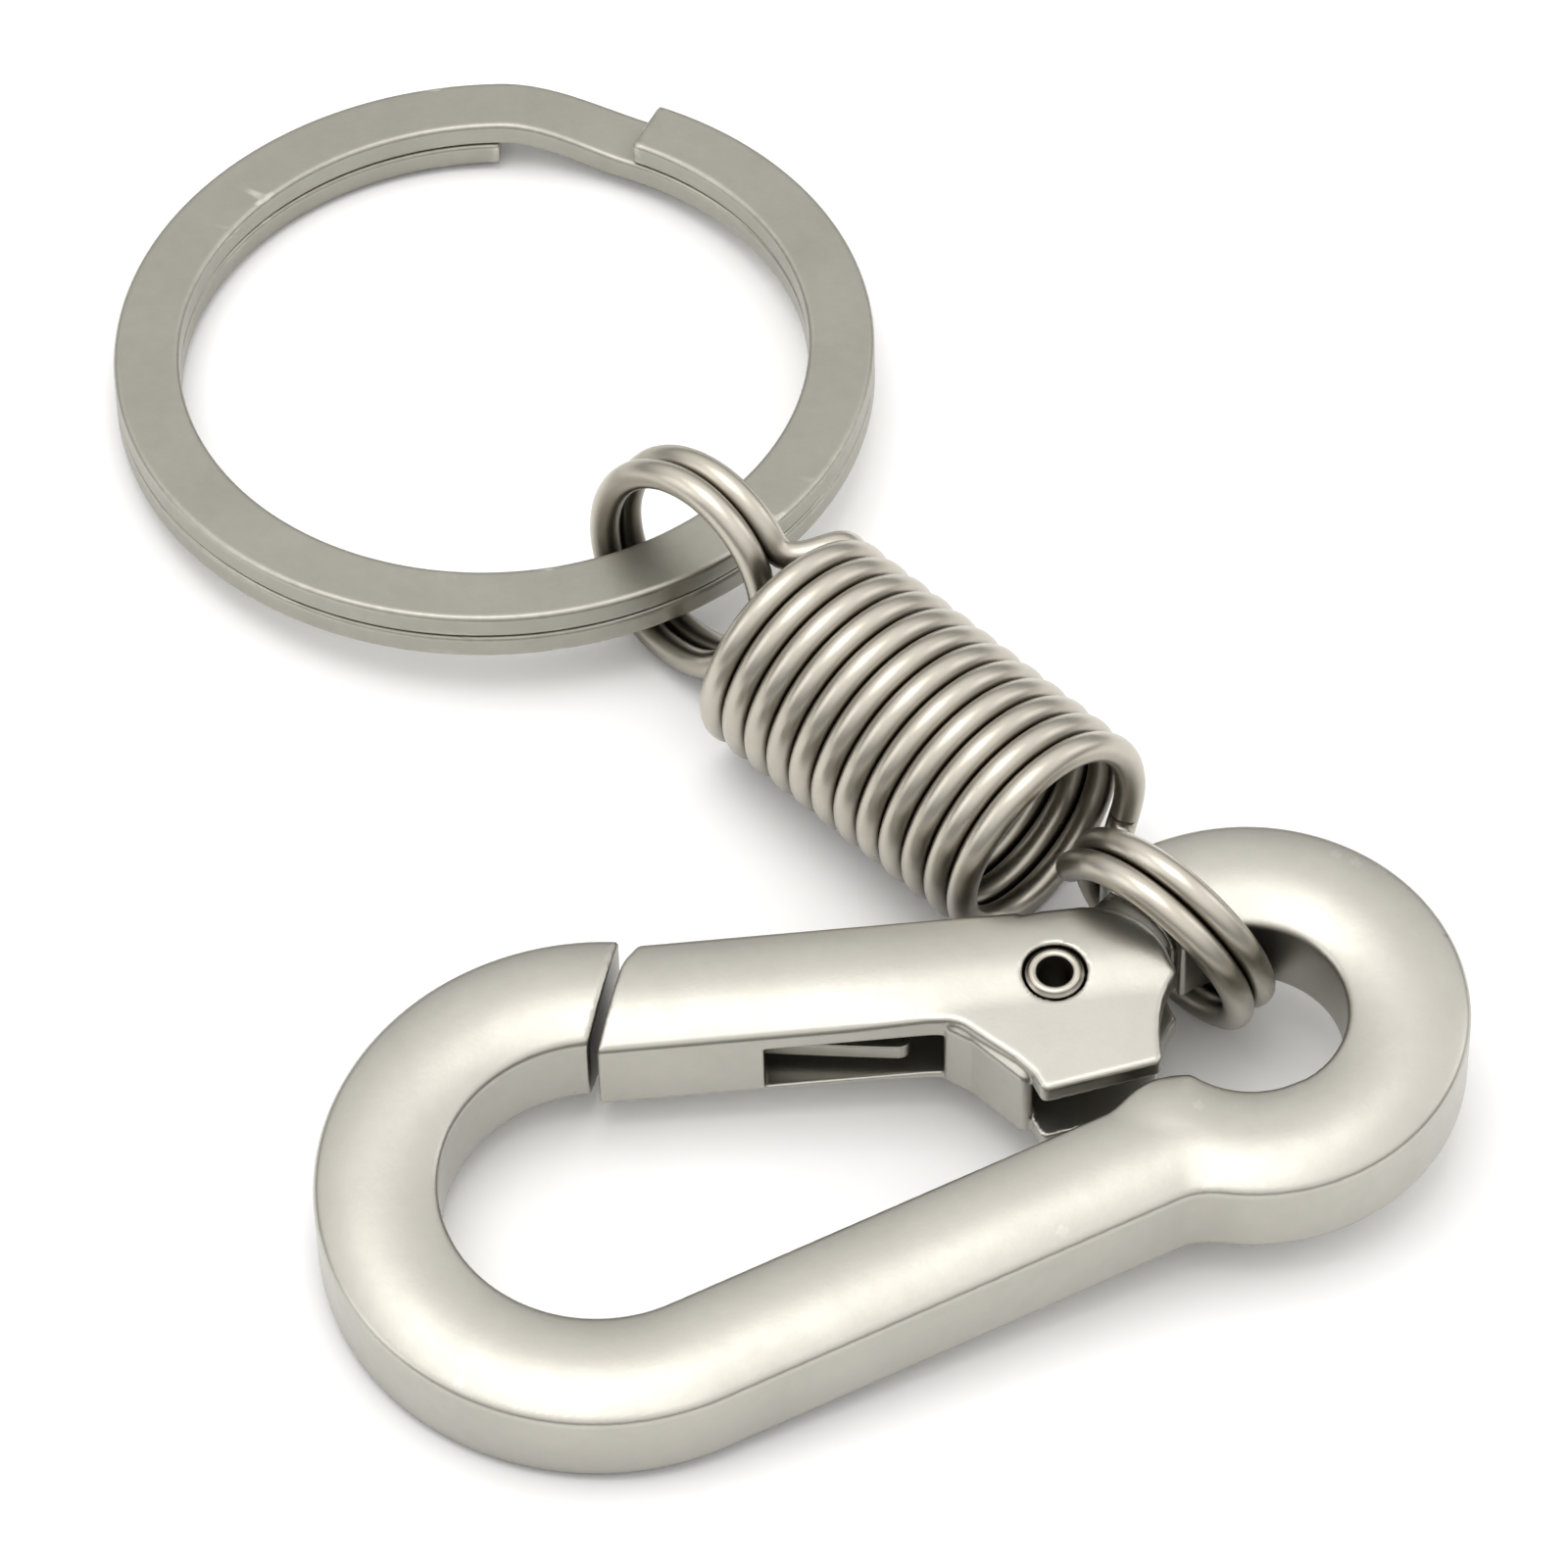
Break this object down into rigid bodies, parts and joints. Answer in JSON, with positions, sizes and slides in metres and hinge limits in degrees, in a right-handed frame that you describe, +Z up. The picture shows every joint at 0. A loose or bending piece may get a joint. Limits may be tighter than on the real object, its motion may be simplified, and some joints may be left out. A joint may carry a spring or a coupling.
{
  "type": "carabiner keyring",
  "caption": "Snap hook with a sprung gate, joined to a flat split ring by a close-wound coil spring with a double wire loop at each end.",
  "frame": {"origin": "bottom centre of the box round the object as it lies on a flat surface, with the split ring at the back left and the hook at the front right", "axes": "+Z up from the surface, +Y towards the split ring's side, +X to the right; the coil's axis is horizontal and heads 42.6 degrees from +X towards -Y"},
  "size_m": [0.0531, 0.067, 0.0095],
  "materials": {
    "hook_nickel": "satin nickel plate on a casting",
    "rivet_steel": "plated tube, dull inside",
    "leaf_steel": "spring strip",
    "spring_wire": "satin plated wire",
    "ring_steel": "tumbled, matte plate"
  },
  "bodies": {
    "root": {"hook_frame": "hook_nickel", "rivet": "rivet_steel"},
    "gate": {"gate": "hook_nickel", "gate_spring": "leaf_steel"},
    "hook_loop": {"hook_loop": "spring_wire", "spring_coil": "spring_wire"},
    "ring_loop": {"ring_loop": "spring_wire"},
    "split_ring": {"split_ring": "ring_steel"}
  },
  "joints": [
    {"name": "gate_hinge", "type": "hinge", "parent": "root", "child": "gate", "pos_m": [0.01096, -0.01379, 0.00428], "axis": [-0.0387, -0.076, 0.9964], "range_deg": [0, 35], "stiffness_Nm_per_rad": 0.03, "springref_deg": -20.05, "deforming": ["gate_spring"]},
    {"name": "link_swing", "type": "hinge", "parent": "root", "child": "hook_loop", "pos_m": [0.01513, -0.01029, 0.00477], "axis": [0.6582, 0.7158, 0.2334], "range_deg": [-15, 110]},
    {"name": "coil_stretch", "type": "slide", "parent": "hook_loop", "child": "ring_loop", "axis": [-0.7361, 0.6769, 0], "range_m": [0, 0.008], "stiffness_N_per_m": 2650, "deforming": ["spring_coil"]},
    {"name": "ring_turn", "type": "hinge", "parent": "ring_loop", "child": "split_ring", "pos_m": [-0.01152, 0.01832, 0.00229], "axis": [-0.0463, 0.0676, 0.9966], "continuous": true}
  ]
}
